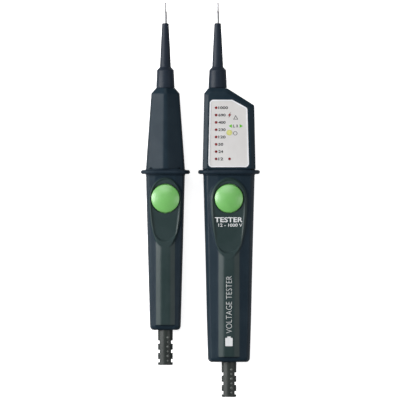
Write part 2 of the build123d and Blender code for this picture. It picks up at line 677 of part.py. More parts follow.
def light_shapes(probe, grow, low, high):
    """Lit ends of the light pipes by colour, as prisms between two heights."""
    spots, x = lights(), probe["x"]
    return dict(
        red=[post(x + lx, ly, RED_RADIUS + grow, low, high) for lx, ly in spots["red"]],
        flash=[plate(shifted(flash_points(grow), probe), 0.0, low, high)],
        green=[plate(shifted(arrow_points(spot, side, grow), probe), 0.0, low, high)
               for spot, side in zip(GREEN, (-1, 1))],
        yellow=[post(x + YELLOW[0], YELLOW[1], YELLOW_RADIUS + grow, low, high)])


def light_pipes(probe):
    x, floor = probe["x"], plate_floor(probe)
    base = floor - PIPE_BAR
    lit = light_shapes(probe, 0.0, floor, floor + PANEL_SINK + 0.1)
    low_red = RED_TOP - (RED_COUNT - 1) * RED_PITCH
    red = block((x + RED_X - 1.4, x + RED_X + 1.4), (low_red - 1.4, RED_TOP + 1.4), (base, floor))
    red += block((x + RED_X, x + EXTRA_RED[0] + 1.4), (low_red - 1.2, low_red + 1.2), (base, floor))
    for pin in lit["red"]:
        red += pin
    flash = block((x + FLASH[0] - 2, x + FLASH[0] + 2), (FLASH[1] - 2.6, FLASH[1] + 2.6), (base, floor))
    greens = [block((x + gx - 1.7, x + gx + 1.7), (gy - 1.7, gy + 1.7), (base, floor)) + pin
              for (gx, gy), pin in zip(GREEN, lit["green"])]
    yellow = post(x + YELLOW[0], YELLOW[1], YELLOW_RADIUS + 0.6, base, floor) + lit["yellow"][0]
    return dict(red_light_pipes=red, flash_light_pipe=flash + lit["flash"][0], green_light_pipes=greens,
                yellow_light_pipe=yellow)


# ---- window, plate and frame --------------------------------------------------------------------------
def panel_face(probe, inset):
    return grown(shifted(PANEL, probe), PANEL_RADIUS, -inset)


def window_cut(probe):
    floor = plate_floor(probe)
    recess = Pos(0, 0, floor) * extrude(panel_face(probe, 0), 5)
    return recess + Pos(0, 0, floor - 3) * extrude(panel_face(probe, LEDGE), 4)


def scale_bezel(probe):
    ring = panel_face(probe, 0) - panel_face(probe, BEZEL)
    return Pos(0, 0, plate_floor(probe)) * extrude(ring, PANEL_SINK + 0.15)


def scale_plate(probe):
    floor = plate_floor(probe)
    body = Pos(0, 0, floor) * extrude(panel_face(probe, BEZEL), PANEL_SINK - 0.1)
    for shapes in light_shapes(probe, 0.04, floor, floor + PANEL_SINK).values():
        for shape in shapes:
            body -= shape
    return body


# ---- display probe's power, buzzer and motor ------------------------------------------------------------
def rear_fittings(probe):
    """Motor cradle, tray ledges and the door screw's boss, all on the rear shell."""
    x, middle = probe["x"], sum(MOTOR["y"]) / 2
    made = [block((x - 5, x + 5), (middle - 3.5, middle + 3.5), (0, MOTOR["z"]))]
    for side in (-1, 1):
        near, far = sorted((x + side * (TRAY_HALF + 0.2), x + side * 16))
        made += [block((near, far), (y - 2, y + 2), (2, TRAY_TOP - LIP)) for y in LIP_Y]
    return made + [post(x, DOOR_SCREW_Y, 2.4, 0, 7)]


def door_prism(probe, low, high, gap, top):
    x = probe["x"]
    ring = [(x - DOOR_FACE + gap, low, -gap), (x + DOOR_FACE - gap, low, -gap),
            (x + DOOR_INSIDE - gap, low, top - gap), (x - DOOR_INSIDE + gap, low, top - gap)]
    return extrude(make_face(Polyline(*ring, close=True)), high - low, dir=(0, 1, 0))


def battery_opening(probe):
    x = probe["x"]
    cut = door_prism(probe, probe["tail"] - 1, DOOR_HIGH + DOOR_GAP, 0, DOOR_THICK + DOOR_GAP)
    cut += block((x - 10.8, x + 10.8), (TRAY[1] + 1, TRAY[0] - 1), (DOOR_THICK, 2.6))
    return cut + post(x, DOOR_SCREW_Y, SCREW_RADIUS, DOOR_THICK, 6.2)


def battery_door(probe):
    x = probe["x"]
    door = door_prism(probe, probe["tail"], DOOR_HIGH, DOOR_GAP, DOOR_THICK + DOOR_GAP)
    door &= block((-60, 60), (-150, 0), (0, DOOR_THICK))
    door &= handle_body(probe)
    for radius, low, high in ((1.35, 0, DOOR_THICK), (2.3, 0, 0.8)):
        door -= post(x, DOOR_SCREW_Y, radius, low, high)
        door -= block((x - radius, x + radius), (DOOR_SCREW_Y, DOOR_HIGH + 1), (low, high))
    for index in range(5):
        y = probe["tail"] + 6 + index * 2.2
        door -= block((x - 6, x + 6), (y - 0.5, y + 0.5), (0, 0.4))
    return door


def battery_cell(probe, side, nub_high):
    x, low, high = probe["x"] + side * CELL_X, CELL_HIGH - CELL_LENGTH, CELL_HIGH
    if nub_high:
        return rod(x, CELL_Z, CELL_RADIUS, low, high - 0.8) + rod(x, CELL_Z, 1.9, high - 0.8, high)
    return rod(x, CELL_Z, CELL_RADIUS, low + 0.8, high) + rod(x, CELL_Z, 1.9, low, low + 0.8)


def battery_tray(probe):
    x, (high, low) = probe["x"], TRAY
    tray = block((x - TRAY_HALF, x + TRAY_HALF), (low, high), (TRAY_FOOT, TRAY_TOP))
    for y in LIP_Y:
        tray += block((x - TRAY_LIP, x + TRAY_LIP), (y - 2, y + 2), (TRAY_TOP - LIP, TRAY_TOP))
    for side in (-1, 1):
        cx = x + side * CELL_X
        tray -= rod(cx, CELL_Z, CELL_RADIUS + 0.12, low + TRAY_WALL, high - TRAY_WALL)
        tray -= block((cx - CELL_RADIUS - 0.12, cx + CELL_RADIUS + 0.12),
                      (low + TRAY_WALL, high - TRAY_WALL), (4, CELL_Z))
    return tray


def battery_contacts(probe):
    made, (high, low) = [], TRAY
    for side in (-1, 1):
        cx = probe["x"] + side * CELL_X
        for wall, face, end in ((high - TRAY_WALL, -1, CELL_HIGH), (low + TRAY_WALL, 1, CELL_HIGH - CELL_LENGTH)):
            span = sorted((wall, wall + face * 0.3))
            leaf = block((cx - 3, cx + 3), span, (CELL_Z - 2.6, CELL_Z + 3))
            made.append(leaf + rod(cx, CELL_Z, 1.6, *sorted((wall, end))))
    return made


def vibration_motor(probe):
    high, low = MOTOR["y"]
    can = rod(probe["x"], MOTOR["z"], MOTOR["radius"], low, high)
    return can - rod(probe["x"], MOTOR["z"], MOTOR["shaft"] + 0.05, low, low + 6)


def motor_rotor(probe):
    x, z, (high, low) = probe["x"], MOTOR["z"], MOTOR["weight_y"]
    weight = rod(x, z, MOTOR["weight"], low, high) & block((x - 6, x + 6), (low, high), (0, z))
    weight += rod(x, z, 1.7, low, high)
    return weight + rod(x, z, MOTOR["shaft"], low, MOTOR["y"][1] + 5.5)


def save(name, shape):
    solids = [s for item in shape for s in item.solids()] if isinstance(shape, list) else shape.solids()
    export_step(solids[0] if len(solids) == 1 else Compound(children=list(solids)), f"parts/{name}.step")


def common_pieces(probe):
    outer, cavity = outer_body(probe), cavity_body(probe)
    return dict(
        front_shell=front_shell(probe, outer, cavity), rear_shell=rear_shell(probe, outer, cavity),
        finger_guard=finger_guard(probe), shell_seal=shell_seal(probe), tip_sleeve=tip_sleeve(probe),
        tip_electrode=tip_electrode(probe), tip_lead=tip_lead(probe), strain_relief=strain_relief(probe),
        cable_clamp=cable_clamp(probe), clamp_screws=clamp_screws(probe), shell_screws=shell_screws(probe),
        board_screws=board_screws(probe), button=button(probe), button_spring=button_spring(probe),
        switch_body=switch_body(probe), switch_plunger=switch_plunger(probe),
        circuit_board=circuit_board(probe), input_resistors=input_resistors(probe))


def display_pieces(probe):
    pieces = dict(
        scale_bezel=scale_bezel(probe), scale_plate=scale_plate(probe), led_shroud=led_shroud(probe),
        indicator_leds=indicator_leds(probe), microcontroller=microcontroller(probe),
        buzzer=post(probe["x"] + BUZZER[0], BUZZER[1], 6, probe["seam"] - 4.2, probe["seam"]),
        ptc_thermistors=[post(probe["x"] + px, py, 4.5, probe["seam"] - 2.7, probe["seam"]) for px, py in PTC],
        vibration_motor=vibration_motor(probe), motor_rotor=motor_rotor(probe),
        battery_left=battery_cell(probe, -1, True), battery_right=battery_cell(probe, 1, False),
        battery_tray=battery_tray(probe), battery_contacts=battery_contacts(probe),
        battery_door=battery_door(probe),
        door_screw=screw(probe["x"], DOOR_SCREW_Y, 2.0, SCREW_RADIUS, 0.05, 0.8, 6))
    return {**pieces, **light_pipes(probe)}


os.makedirs("parts", exist_ok=True)
for probe in (PLAIN, DISPLAY):
    for name, shape in common_pieces(probe).items():
        save(f"{probe['name']}_{name}", shape)
for name, shape in display_pieces(DISPLAY).items():
    save(name, shape)
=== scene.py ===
import math

import bmesh
import bpy
from mathutils import Matrix, Vector


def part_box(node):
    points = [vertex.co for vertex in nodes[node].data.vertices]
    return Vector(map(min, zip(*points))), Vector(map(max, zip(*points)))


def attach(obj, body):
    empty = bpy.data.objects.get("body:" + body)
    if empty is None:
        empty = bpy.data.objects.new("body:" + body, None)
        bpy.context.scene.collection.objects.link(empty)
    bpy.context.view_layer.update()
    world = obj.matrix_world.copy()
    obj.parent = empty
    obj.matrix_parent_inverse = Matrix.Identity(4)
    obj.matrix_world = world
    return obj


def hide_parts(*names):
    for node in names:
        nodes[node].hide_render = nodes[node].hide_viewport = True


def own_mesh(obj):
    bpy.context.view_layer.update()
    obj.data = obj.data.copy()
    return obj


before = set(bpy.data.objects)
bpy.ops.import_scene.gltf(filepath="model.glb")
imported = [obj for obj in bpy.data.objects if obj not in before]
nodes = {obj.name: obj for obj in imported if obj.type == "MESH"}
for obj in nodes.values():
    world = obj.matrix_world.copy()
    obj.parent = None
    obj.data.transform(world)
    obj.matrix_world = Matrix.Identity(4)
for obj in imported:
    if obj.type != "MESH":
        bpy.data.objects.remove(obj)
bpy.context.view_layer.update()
mm = 0.001
print("frame loaded,", len(nodes), "nodes")

# camera, light and floor

cameraSettings = {"centre": (-0.28, -0.18), "height": 1000.0, "span": 280.0}      # mm
cameraData = bpy.data.cameras.new("topCamera")
cameraData.type = "ORTHO"
cameraData.ortho_scale = cameraSettings["span"] * mm
camera = bpy.data.objects.new("topCamera", cameraData)
camera.location = Vector((*cameraSettings["centre"], cameraSettings["height"])) * mm
bpy.context.collection.objects.link(camera)
bpy.context.scene.camera = camera
bpy.context.scene.view_settings.view_transform = "Standard"

lightSettings = {
    "leftSoftbox": {"place": (-0.85, 0.10, 0.47), "size": (0.42, 1.10), "power": 11.5},
    "rightFill": {"place": (0.80, -0.10, 0.60), "size": (0.35, 0.90), "power": 2.0},
    "topFill": {"place": (-0.10, 0.55, 0.85), "size": (0.60, 0.50), "power": 2.0},
}
for name, box in lightSettings.items():
    lamp = bpy.data.lights.new(name, "AREA")
    lamp.shape = "RECTANGLE"
    lamp.size, lamp.size_y = box["size"]
    lamp.energy = box["power"]
    holder = bpy.data.objects.new(name, lamp)
    holder.location = box["place"]
    holder.rotation_mode = "QUATERNION"
    holder.rotation_quaternion = (-Vector(box["place"])).to_track_quat("-Z", "Y")
    bpy.context.collection.objects.link(holder)


def addNode(tree, kind, settings=None, inputs=None):
    made = tree.nodes.new(kind)
    for key, value in (settings or {}).items():
        setattr(made, key, value)
    for key, value in (inputs or {}).items():
        made.inputs[key].default_value = value
    return made


def join(tree, source, output, target, slotName):
    tree.links.new(source.outputs[output], target.inputs[slotName])


def mathNode(tree, operation, a, b=None, clamp=False):
    # a and b are numbers or (node, output) pairs
    made = addNode(tree, "ShaderNodeMath", {"operation": operation, "use_clamp": clamp})
    for index, value in enumerate((a, b)):
        if isinstance(value, tuple):
            tree.links.new(value[0].outputs[value[1]], made.inputs[index])
        elif value is not None:
            made.inputs[index].default_value = value
    return made


def rampNode(tree, source, output, low, high, toLow=0.0, toHigh=1.0, smooth=False):
    made = addNode(tree, "ShaderNodeMapRange", {"interpolation_type": "SMOOTHSTEP" if smooth else "LINEAR"},
                   {"From Min": low, "From Max": high, "To Min": toLow, "To Max": toHigh})
    join(tree, source, output, made, "Value")
    return made


def mixNode(tree, factor, colourA, colourB, blend="MIX"):
    # colours are (r, g, b) or (node, output) pairs, and so is a driven factor
    made = addNode(tree, "ShaderNodeMix", {"data_type": "RGBA", "blend_type": blend})
    for index, value in ((0, factor), (6, colourA), (7, colourB)):
        if isinstance(value, tuple) and not isinstance(value[0], (int, float)):
            tree.links.new(value[0].outputs[value[1]], made.inputs[index])
        else:
            made.inputs[index].default_value = value if index == 0 else (*value, 1.0)
    return made


worldSettings = {"left": 0.42, "above": 0.30, "right": 0.12, "spread": 0.85, "seen": 1.0,
                 "colour": (0.97, 0.98, 1.0)}
world = bpy.data.worlds.new("studio")
world.use_nodes = True
bpy.context.scene.world = world
tree = world.node_tree
ground = tree.nodes["Background"]
way = addNode(tree, "ShaderNodeTexCoord")
split = addNode(tree, "ShaderNodeSeparateXYZ")
join(tree, way, "Generated", split, "Vector")
leftSide = rampNode(tree, split, "X", -worldSettings["spread"], 0.0,
                    worldSettings["left"], worldSettings["above"])
rightSide = rampNode(tree, split, "X", 0.0, worldSettings["spread"], 0.0,
                     worldSettings["right"] - worldSettings["above"])
glow = mathNode(tree, "ADD", (leftSide, "Result"), (rightSide, "Result"))
join(tree, glow, "Value", ground, "Strength")
seen = addNode(tree, "ShaderNodeBackground", inputs={"Color": (1, 1, 1, 1), "Strength": worldSettings["seen"]})
ground.inputs["Color"].default_value = (*worldSettings["colour"], 1)
eye = addNode(tree, "ShaderNodeLightPath")
blendSky = addNode(tree, "ShaderNodeMixShader")
join(tree, eye, "Is Camera Ray", blendSky, "Fac")
tree.links.new(ground.outputs[0], blendSky.inputs[1])
tree.links.new(seen.outputs[0], blendSky.inputs[2])
tree.links.new(blendSky.outputs[0], tree.nodes["World Output"].inputs["Surface"])

floorSettings = {"side": 3.0, "drop": 0.02, "seenGlow": 0.80, "bounceGlow": 0.15, "seen": (0.93, 0.93, 0.93),
                 "bounce": (0.35, 0.35, 0.35)}
paperFlat = {"Roughness": 0.9, "Specular IOR Level": 0.0, "Emission Color": (1, 1, 1, 1)}
bm = bmesh.new()
bmesh.ops.create_grid(bm, x_segments=1, y_segments=1, size=floorSettings["side"] / 2)
bmesh.ops.translate(bm, verts=bm.verts, vec=(0, 0, -floorSettings["drop"] * mm))
floorMesh = bpy.data.meshes.new("floor")
bm.to_mesh(floorMesh)
bm.free()
floor = bpy.data.objects.new("floor", floorMesh)
bpy.context.collection.objects.link(floor)
paper = bpy.data.materials.new("whitePaper")
paper.use_nodes = True
tree = paper.node_tree
shader = tree.nodes["Principled BSDF"]
for key, value in paperFlat.items():
    shader.inputs[key].default_value = value
# the paper glows in full only where the camera sees it, so it doesn't light the dark sides
floorEye = addNode(tree, "ShaderNodeLightPath")
floorGlow = rampNode(tree, floorEye, "Is Camera Ray", 0.0, 1.0, floorSettings["bounceGlow"],
                     floorSettings["seenGlow"])
join(tree, floorGlow, "Result", shader, "Emission Strength")
floorTone = mixNode(tree, (floorEye, "Is Camera Ray"), floorSettings["bounce"], floorSettings["seen"])
join(tree, floorTone, 2, shader, "Base Color")
floorMesh.materials.append(paper)
print("camera, light and floor made")

# effects that several finishes share


def newGroup(name, inputs, outputs):
    # inputs are (name, socket, value), outputs are (name, socket)
    group = bpy.data.node_groups.new(name, "ShaderNodeTree")
    for label, socket, value in inputs:
        made = group.interface.new_socket(name=label, in_out="INPUT", socket_type=socket)
        if value is not None:
            made.default_value = value
    for label, socket in outputs:
        group.interface.new_socket(name=label, in_out="OUTPUT", socket_type=socket)
    return group, group.nodes.new("NodeGroupInput"), group.nodes.new("NodeGroupOutput")


def placeGroup(tree, group, vector=None, inputs=None):
    made = addNode(tree, "ShaderNodeGroup", {"node_tree": group}, inputs)
    if vector:
        tree.links.new(vector[0].outputs[vector[1]], made.inputs["Vector"])
    return made


# fine spark-eroded mould grain: a height and a value for sparse flecks
sparkGrain, groupIn, groupOut = newGroup(
    "sparkGrain",
    [("Vector", "NodeSocketVector", None), ("Scale", "NodeSocketFloat", 1800.0)],
    [("Height", "NodeSocketFloat"), ("Fleck", "NodeSocketFloat")])
noise = addNode(sparkGrain, "ShaderNodeTexNoise", inputs={"Detail": 3.0, "Roughness": 0.6})
pits = addNode(sparkGrain, "ShaderNodeTexVoronoi", {"feature": "SMOOTH_F1"}, {"Smoothness": 0.6})
join(sparkGrain, groupIn, "Vector", noise, "Vector")
join(sparkGrain, groupIn, "Vector", pits, "Vector")
join(sparkGrain, groupIn, "Scale", noise, "Scale")
wider = mathNode(sparkGrain, "MULTIPLY", (groupIn, "Scale"), 0.7)
join(sparkGrain, wider, "Value", pits, "Scale")
depth = mathNode(sparkGrain, "MULTIPLY_ADD", (pits, "Distance"), 0.6)
join(sparkGrain, noise, "Fac", depth, 2)
join(sparkGrain, depth, "Value", groupOut, "Height")
fleck = rampNode(sparkGrain, noise, "Fac", 0.58, 0.72)
join(sparkGrain, fleck, "Result", groupOut, "Fleck")

# slow change of shade across a moulding, with faint flow lines along it
mouldTone, groupIn, groupOut = newGroup(
    "mouldTone",
    [("Vector", "NodeSocketVector", None), ("Colour", "NodeSocketColor", (0.5, 0.5, 0.5, 1)),
     ("Light Colour", "NodeSocketColor", (0.6, 0.6, 0.6, 1)), ("Size", "NodeSocketFloat", 45.0)],
    [("Colour", "NodeSocketColor"), ("Shade", "NodeSocketFloat")])
cloud = addNode(mouldTone, "ShaderNodeTexNoise", inputs={"Detail": 4.0, "Roughness": 0.55})
stretch = addNode(mouldTone, "ShaderNodeMapping", inputs={"Scale": (1.0, 0.22, 1.0)})
flow = addNode(mouldTone, "ShaderNodeTexNoise", inputs={"Scale": 420.0, "Detail": 2.0})
join(mouldTone, groupIn, "Vector", cloud, "Vector")
join(mouldTone, groupIn, "Vector", stretch, "Vector")
join(mouldTone, stretch, "Vector", flow, "Vector")
join(mouldTone, groupIn, "Size", cloud, "Scale")
patch = rampNode(mouldTone, cloud, "Fac", 0.32, 0.70, smooth=True)
line = rampNode(mouldTone, flow, "Fac", 0.35, 0.75)
shade = mathNode(mouldTone, "MULTIPLY_ADD", (line, "Result"), 0.25)
join(mouldTone, patch, "Result", shade, 2)
shade.use_clamp = True
tone = mixNode(mouldTone, (shade, "Value"), (groupIn, "Colour"), (groupIn, "Light Colour"))
join(mouldTone, tone, 2, groupOut, "Colour")
join(mouldTone, shade, "Value", groupOut, "Shade")

# where hands have polished or smeared the surface
handling, groupIn, groupOut = newGroup(
    "handling",
    [("Vector", "NodeSocketVector", None), ("Rough", "NodeSocketFloat", 0.5),
     ("Change", "NodeSocketFloat", 0.1)],
    [("Roughness", "NodeSocketFloat"), ("Smear", "NodeSocketFloat")])
smear = addNode(handling, "ShaderNodeTexNoise", inputs={"Scale": 70.0, "Detail": 5.0, "Distortion": 0.8})
scratches = addNode(handling, "ShaderNodeTexNoise", inputs={"Scale": 900.0, "Detail": 2.0})
turn = addNode(handling, "ShaderNodeMapping", inputs={"Rotation": (0.0, 0.0, 0.5), "Scale": (1.0, 0.06, 1.0)})
join(handling, groupIn, "Vector", smear, "Vector")
join(handling, groupIn, "Vector", turn, "Vector")
join(handling, turn, "Vector", scratches, "Vector")
smearMask = rampNode(handling, smear, "Fac", 0.40, 0.62, smooth=True)
scratchMask = rampNode(handling, scratches, "Fac", 0.66, 0.74)
both = mathNode(handling, "MULTIPLY_ADD", (scratchMask, "Result"), 0.5)
join(handling, smearMask, "Result", both, 2)
lift = mathNode(handling, "MULTIPLY", (both, "Value"), (groupIn, "Change"))
rough = mathNode(handling, "SUBTRACT", (groupIn, "Rough"), (lift, "Value"), clamp=True)
join(handling, rough, "Value", groupOut, "Roughness")
join(handling, both, "Value", groupOut, "Smear")

# normal that rolls over sharp edges, and a mask of where they are
softEdge, groupIn, groupOut = newGroup(
    "softEdge", [("Radius", "NodeSocketFloat", 0.0003)],
    [("Normal", "NodeSocketVector"), ("Edge", "NodeSocketFloat")])
rolled = addNode(softEdge, "ShaderNodeBevel", {"samples": 6})
join(softEdge, groupIn, "Radius", rolled, "Radius")
flatWay = addNode(softEdge, "ShaderNodeNewGeometry")
alike = addNode(softEdge, "ShaderNodeVectorMath", {"operation": "DOT_PRODUCT"})
join(softEdge, rolled, "Normal", alike, 0)
join(softEdge, flatWay, "Normal", alike, 1)
edge = rampNode(softEdge, alike, "Value", 0.995, 0.90)
join(softEdge, rolled, "Normal", groupOut, "Normal")
join(softEdge, edge, "Result", groupOut, "Edge")

# specks of dust
dust, groupIn, groupOut = newGroup(
    "dust", [("Vector", "NodeSocketVector", None), ("Scale", "NodeSocketFloat", 380.0)],
    [("Mask", "NodeSocketFloat")])
specks = addNode(dust, "ShaderNodeTexVoronoi")
patches = addNode(dust, "ShaderNodeTexNoise", inputs={"Scale": 60.0, "Detail": 3.0})
join(dust, groupIn, "Vector", specks, "Vector")
join(dust, groupIn, "Vector", patches, "Vector")
join(dust, groupIn, "Scale", specks, "Scale")
dot = rampNode(dust, specks, "Distance", 0.10, 0.02)
where = rampNode(dust, patches, "Fac", 0.45, 0.65)
speck = mathNode(dust, "MULTIPLY", (dot, "Result"), (where, "Result"))
join(dust, speck, "Value", groupOut, "Mask")
print("shared effects made")

# finishes


def newFinish(name, flat=None):
    # flat holds the shader's plain numbers
    material = bpy.data.materials.new(name)
    material.use_nodes = True
    tree = material.node_tree
    shader = tree.nodes["Principled BSDF"]
    for key, value in (flat or {}).items():
        shader.inputs[key].default_value = value
    return material, tree, shader, (addNode(tree, "ShaderNodeTexCoord"), "Object")


mouldedSettings = {"dustColour": (0.32, 0.31, 0.29), "grainDepth": 0.08, "toneSize": 45.0, "polish": 0.08,
                   "edge": 0.3, "wear": 0.25, "fleck": 0.12, "dust": 0.10, "bump": 0.25}


def moulded(name, look):
    # a moulded plastic or rubber: tone, grain, handling, soft edges and dust
    look = {**mouldedSettings, "wornColour": look["light"], **look}
    material, tree, shader, place = newFinish(name, look.get("flat"))
    tone = placeGroup(tree, mouldTone, place, {
        "Colour": (*look["colour"], 1), "Light Colour": (*look["light"], 1), "Size": look["toneSize"]})
    grain = placeGroup(tree, sparkGrain, place, {"Scale": look["grain"]})
    hands = placeGroup(tree, handling, place, {"Rough": look["rough"], "Change": look["polish"]})
    edges = placeGroup(tree, softEdge, inputs={"Radius": look["edge"] * mm})
    specks = placeGroup(tree, dust, place)
    worn = mathNode(tree, "MULTIPLY", (edges, "Edge"), look["wear"])
    colour = mixNode(tree, (worn, "Value"), (tone, "Colour"), look["wornColour"])
    fleckPart = mathNode(tree, "MULTIPLY", (grain, "Fleck"), look["fleck"])
    colour = mixNode(tree, (fleckPart, "Value"), (colour, 2), look["light"])
    dustPart = mathNode(tree, "MULTIPLY", (specks, "Mask"), look["dust"])
    colour = mixNode(tree, (dustPart, "Value"), (colour, 2), look["dustColour"])
    join(tree, colour, 2, shader, "Base Color")
    join(tree, hands, "Roughness", shader, "Roughness")
    bump = addNode(tree, "ShaderNodeBump",
                   inputs={"Strength": look["bump"], "Distance": look["grainDepth"] * mm})
    join(tree, grain, "Height", bump, "Height")
    join(tree, edges, "Normal", bump, "Normal")
    join(tree, bump, "Normal", shader, "Normal")
    return material, tree, shader, colour, place


housingLooks = {
    "plainHousing": {"seam": 13.0, "roof": 22.0, "drop": 1.2, "tail": -91.2},
    "displayHousing": {"seam": 16.5, "roof": 27.7, "drop": 1.7, "tail": -113.6},
}
housingBase = {
    "colour": (0.0100, 0.0215, 0.0330), "light": (0.0150, 0.0285, 0.0410), "grain": 2300.0, "rough": 0.40,
    "polish": 0.05, "bump": 0.20, "edge": 1.10, "wear": 0.12, "wornColour": (0.034, 0.048, 0.058),
    "flat": {"Specular IOR Level": 0.12, "Coat Roughness": 0.36},
}
gripSkin = {"dark": (0.018, 0.036, 0.036), "light": (0.025, 0.044, 0.045), "toneSize": 60.0, "coat": 0.30,
            "fade": (0.15, 0.40), "end": (17.2, 16.8), "fallFrom": -36.0}
seamLine = {"colour": (0.002, 0.003, 0.004), "fade": (0.16, 0.07)}


def housing(name, spot):
    material, tree, shader, colour, place = moulded(name, housingBase)
    axes = addNode(tree, "ShaderNodeSeparateXYZ")
    join(tree, *place, axes, "Vector")
    # the softer grip skin covers what stands above the handle's roof
    fall = rampNode(tree, axes, "Y", gripSkin["fallFrom"] * mm, spot["tail"] * mm, 0.0, spot["drop"] * mm)
    level = mathNode(tree, "ADD", (axes, "Z"), (fall, "Result"))
    low, high = [(spot["roof"] + height) * mm for height in gripSkin["fade"]]
    above = rampNode(tree, level, "Value", low, high, smooth=True)
    behindGuard = rampNode(tree, axes, "Y", *[y * mm for y in gripSkin["end"]])
    skin = mathNode(tree, "MULTIPLY", (above, "Result"), (behindGuard, "Result"))
    gripTone = placeGroup(tree, mouldTone, place, {
        "Colour": (*gripSkin["dark"], 1), "Light Colour": (*gripSkin["light"], 1),
        "Size": gripSkin["toneSize"]})
    colour = mixNode(tree, (skin, "Value"), (colour, 2), (gripTone, "Colour"))
    sheen = mathNode(tree, "MULTIPLY", (skin, "Value"), gripSkin["coat"])
    join(tree, sheen, "Value", shader, "Coat Weight")
    # hairline where the two halves meet
    away = mathNode(tree, "ABSOLUTE", (mathNode(tree, "SUBTRACT", (axes, "Z"), spot["seam"] * mm), "Value"))
    hairline = rampNode(tree, away, "Value", *[width * mm for width in seamLine["fade"]])
    colour = mixNode(tree, (hairline, "Result"), (colour, 2), seamLine["colour"])
    join(tree, colour, 2, shader, "Base Color")
    return material


finishes = {name: housing(name, spot) for name, spot in housingLooks.items()}

mouldedLooks = {
    "guardRubber": {
        "colour": (0.0095, 0.0195, 0.0310), "light": (0.0140, 0.0255, 0.0385), "grain": 2600.0, "rough": 0.46,
        "bump": 0.18, "edge": 0.2, "wear": 0.1, "flat": {"Specular IOR Level": 0.15}},
    "sleevePlastic": {
        "colour": (0.0135, 0.0205, 0.0330), "light": (0.0190, 0.0280, 0.0420), "grain": 2400.0, "rough": 0.40,
        "bump": 0.16, "edge": 0.25, "wear": 0.2, "wornColour": (0.045, 0.055, 0.066),
        "flat": {"Specular IOR Level": 0.15}},
    "bootRubber": {
        "colour": (0.0200, 0.0260, 0.0240), "light": (0.0290, 0.0360, 0.0330), "grain": 1500.0, "rough": 0.42,
        "polish": 0.08, "bump": 0.30, "edge": 0.25, "wear": 0.35, "wornColour": (0.060, 0.066, 0.062),
        "flat": {"Specular IOR Level": 0.30}},
    # the pips are the boot's rubber painted much lighter, with lighter edges: a painted highlight
    "pipRubber": {
        "colour": (0.085, 0.095, 0.088), "light": (0.115, 0.125, 0.118), "grain": 1800.0, "rough": 0.36,
        "polish": 0.08, "bump": 0.15, "edge": 0.1, "wear": 0.2, "wornColour": (0.15, 0.16, 0.15),
        "flat": {"Specular IOR Level": 0.5}},
    "sealRubber": {
        "colour": (0.010, 0.010, 0.011), "light": (0.018, 0.018, 0.019), "grain": 1200.0, "rough": 0.65,
        "bump": 0.25, "flat": {"Specular IOR Level": 0.3}},
    "innerPlastic": {
        "colour": (0.030, 0.032, 0.034), "light": (0.045, 0.047, 0.050), "grain": 1500.0, "rough": 0.50,
        "bump": 0.2},
    "plungerPlastic": {
        "colour": (0.50, 0.48, 0.42), "light": (0.58, 0.56, 0.50), "grain": 1800.0, "rough": 0.45,
        "bump": 0.12},
    "leadJacket": {
        "colour": (0.35, 0.02, 0.02), "light": (0.45, 0.04, 0.03), "grain": 1600.0, "rough": 0.40,
        "bump": 0.15},
    "ceramicBody": {
        "colour": (0.10, 0.22, 0.32), "light": (0.14, 0.28, 0.38), "grain": 1700.0, "rough": 0.38,
        "bump": 0.15},
    "chipEpoxy": {
        "colour": (0.012, 0.012, 0.013), "light": (0.022, 0.022, 0.024), "grain": 3200.0, "rough": 0.48,
        "bump": 0.15},
    "ledResin": {
        "colour": (0.72, 0.66, 0.42), "light": (0.80, 0.76, 0.55), "grain": 2500.0, "rough": 0.20,
        "bump": 0.08},
}
for name, look in mouldedLooks.items():
    finishes[name] = moulded(name, look)[0]

buttonLook = {
    "colour": (0.150, 0.475, 0.098), "light": (0.170, 0.500, 0.115), "grain": 2600.0, "rough": 0.36,
    "polish": 0.03, "bump": 0.08, "edge": 0.2, "wear": 0.12, "wornColour": (0.28, 0.60, 0.24), "dust": 0.05,
    "flat": {"Specular IOR Level": 0.8, "Coat Weight": 1.0, "Coat Roughness": 0.27, "Subsurface Weight": 0.08,
             "Subsurface Radius": (0.4, 1.0, 0.3), "Subsurface Scale": 0.001},
}
finishes["buttonPlastic"] = moulded("buttonPlastic", buttonLook)[0]

plateLook = {
    "colour": (0.640, 0.625, 0.615), "light": (0.690, 0.680, 0.670), "grain": 1500.0, "rough": 0.50,
    "polish": 0.06, "bump": 0.06, "edge": 0.15, "wear": 0.1, "wornColour": (0.80, 0.80, 0.80), "fleck": 0.15,
    "flat": {"Specular IOR Level": 0.4},
}
bezelLook = {
    "colour": (0.780, 0.790, 0.820), "light": (0.850, 0.855, 0.880), "grain": 1900.0, "rough": 0.40,
    "polish": 0.08, "bump": 0.08, "edge": 0.2, "wear": 0.1, "wornColour": (0.90, 0.90, 0.90),
    "flat": {"Specular IOR Level": 0.45},
}
inkLook = {
    "colour": (0.018, 0.020, 0.023), "light": (0.045, 0.048, 0.053), "grain": 3000.0, "rough": 0.55,
    "polish": 0.1, "bump": 0.05, "edge": 0.02, "flat": {"Specular IOR Level": 0.3},
}
whiteInkLook = {
    "colour": (0.74, 0.75, 0.76), "light": (0.84, 0.85, 0.85), "grain": 3000.0, "rough": 0.50, "polish": 0.1,
    "bump": 0.08, "edge": 0.02, "fleck": 0.2, "flat": {"Specular IOR Level": 0.35},
}
for name, look in (("scalePlate", plateLook), ("windowFrame", bezelLook), ("greyInk", inkLook),
                   ("whiteInk", whiteInkLook)):
    finishes[name] = moulded(name, look)[0]
